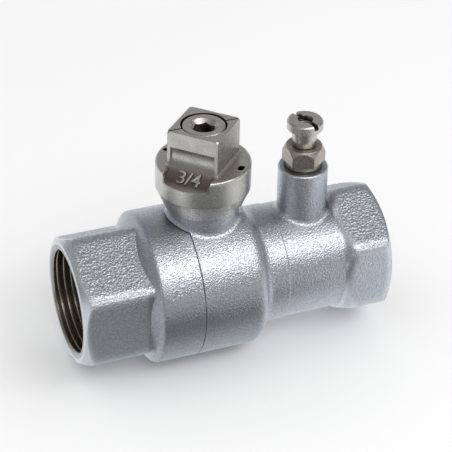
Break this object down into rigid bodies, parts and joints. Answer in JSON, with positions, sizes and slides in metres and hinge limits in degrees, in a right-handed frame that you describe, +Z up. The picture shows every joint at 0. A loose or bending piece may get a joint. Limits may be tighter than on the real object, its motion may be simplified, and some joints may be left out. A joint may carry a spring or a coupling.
{
  "type": "backflow preventer",
  "caption": "In-line ball valve with a built-in spring check valve, a square sealable key cap, a test cock and a female pipe thread at each end.",
  "frame": {"origin": "centre of the inlet thread's mouth, on the pipe axis", "axes": "+X along the pipe axis with the flow, from the inlet to the outlet; +Z up, out of the square key cap; +Y across the pipe"},
  "size_m": [0.0835, 0.0396, 0.0644],
  "materials": {
    "satin_chrome": "satin",
    "chromed_ball": "polished",
    "nickel_plate": "satin",
    "bare_brass": "satin",
    "spring_steel": "gloss",
    "ptfe": "satin",
    "acetal_white": "satin",
    "acetal_black": "satin",
    "nitrile_rubber": "matte",
    "fibre_gasket": "matte"
  },
  "bodies": {
    "housing": {"body": "satin_chrome", "end_connector": "satin_chrome", "joint_gasket": "fibre_gasket", "seat_inlet": "ptfe", "seat_outlet": "ptfe", "stem_thrust_washer": "ptfe", "cartridge_body": "acetal_white", "cartridge_oring": "nitrile_rubber", "check_spring": "spring_steel", "spring_cage": "acetal_white", "snap_ring": "spring_steel", "plug_body": "nickel_plate", "plug_oring": "nitrile_rubber"},
    "valve": {"ball": "chromed_ball", "stem": "bare_brass", "stem_oring_lower": "nitrile_rubber", "stem_oring_upper": "nitrile_rubber", "key_cap": "nickel_plate", "cap_screw": "nickel_plate"},
    "check_poppet": {"poppet": "acetal_black", "poppet_seal": "nitrile_rubber", "seal_retainer": "bare_brass"},
    "bleed_seal": {"bleed_oring": "nitrile_rubber"},
    "bleed_screw": {"bleed_screw": "nickel_plate"}
  },
  "joints": [
    {"name": "valve_turn", "type": "hinge", "parent": "housing", "child": "valve", "pos_m": [0.0363, 0, 0], "axis": [0, 0, 1], "range_deg": [-90, 0]},
    {"name": "check_lift", "type": "slide", "parent": "housing", "child": "check_poppet", "axis": [1, 0, 0], "range_m": [0, 0.0035], "stiffness_N_per_m": 400, "springref_m": -0.005, "deforming": ["check_spring"]},
    {"name": "bleed_lift", "type": "slide", "parent": "housing", "child": "bleed_seal", "axis": [0, 0, 1], "range_m": [0, 0.0008]},
    {"name": "bleed_turn", "type": "hinge", "parent": "bleed_seal", "child": "bleed_screw", "pos_m": [0.0635, 0, 0], "axis": [0, 0, 1], "range_deg": [0, 360]}
  ],
  "couplings": [
    {"joint": "bleed_turn", "follows": "bleed_lift", "rad_per_m": 7853.9}
  ]
}
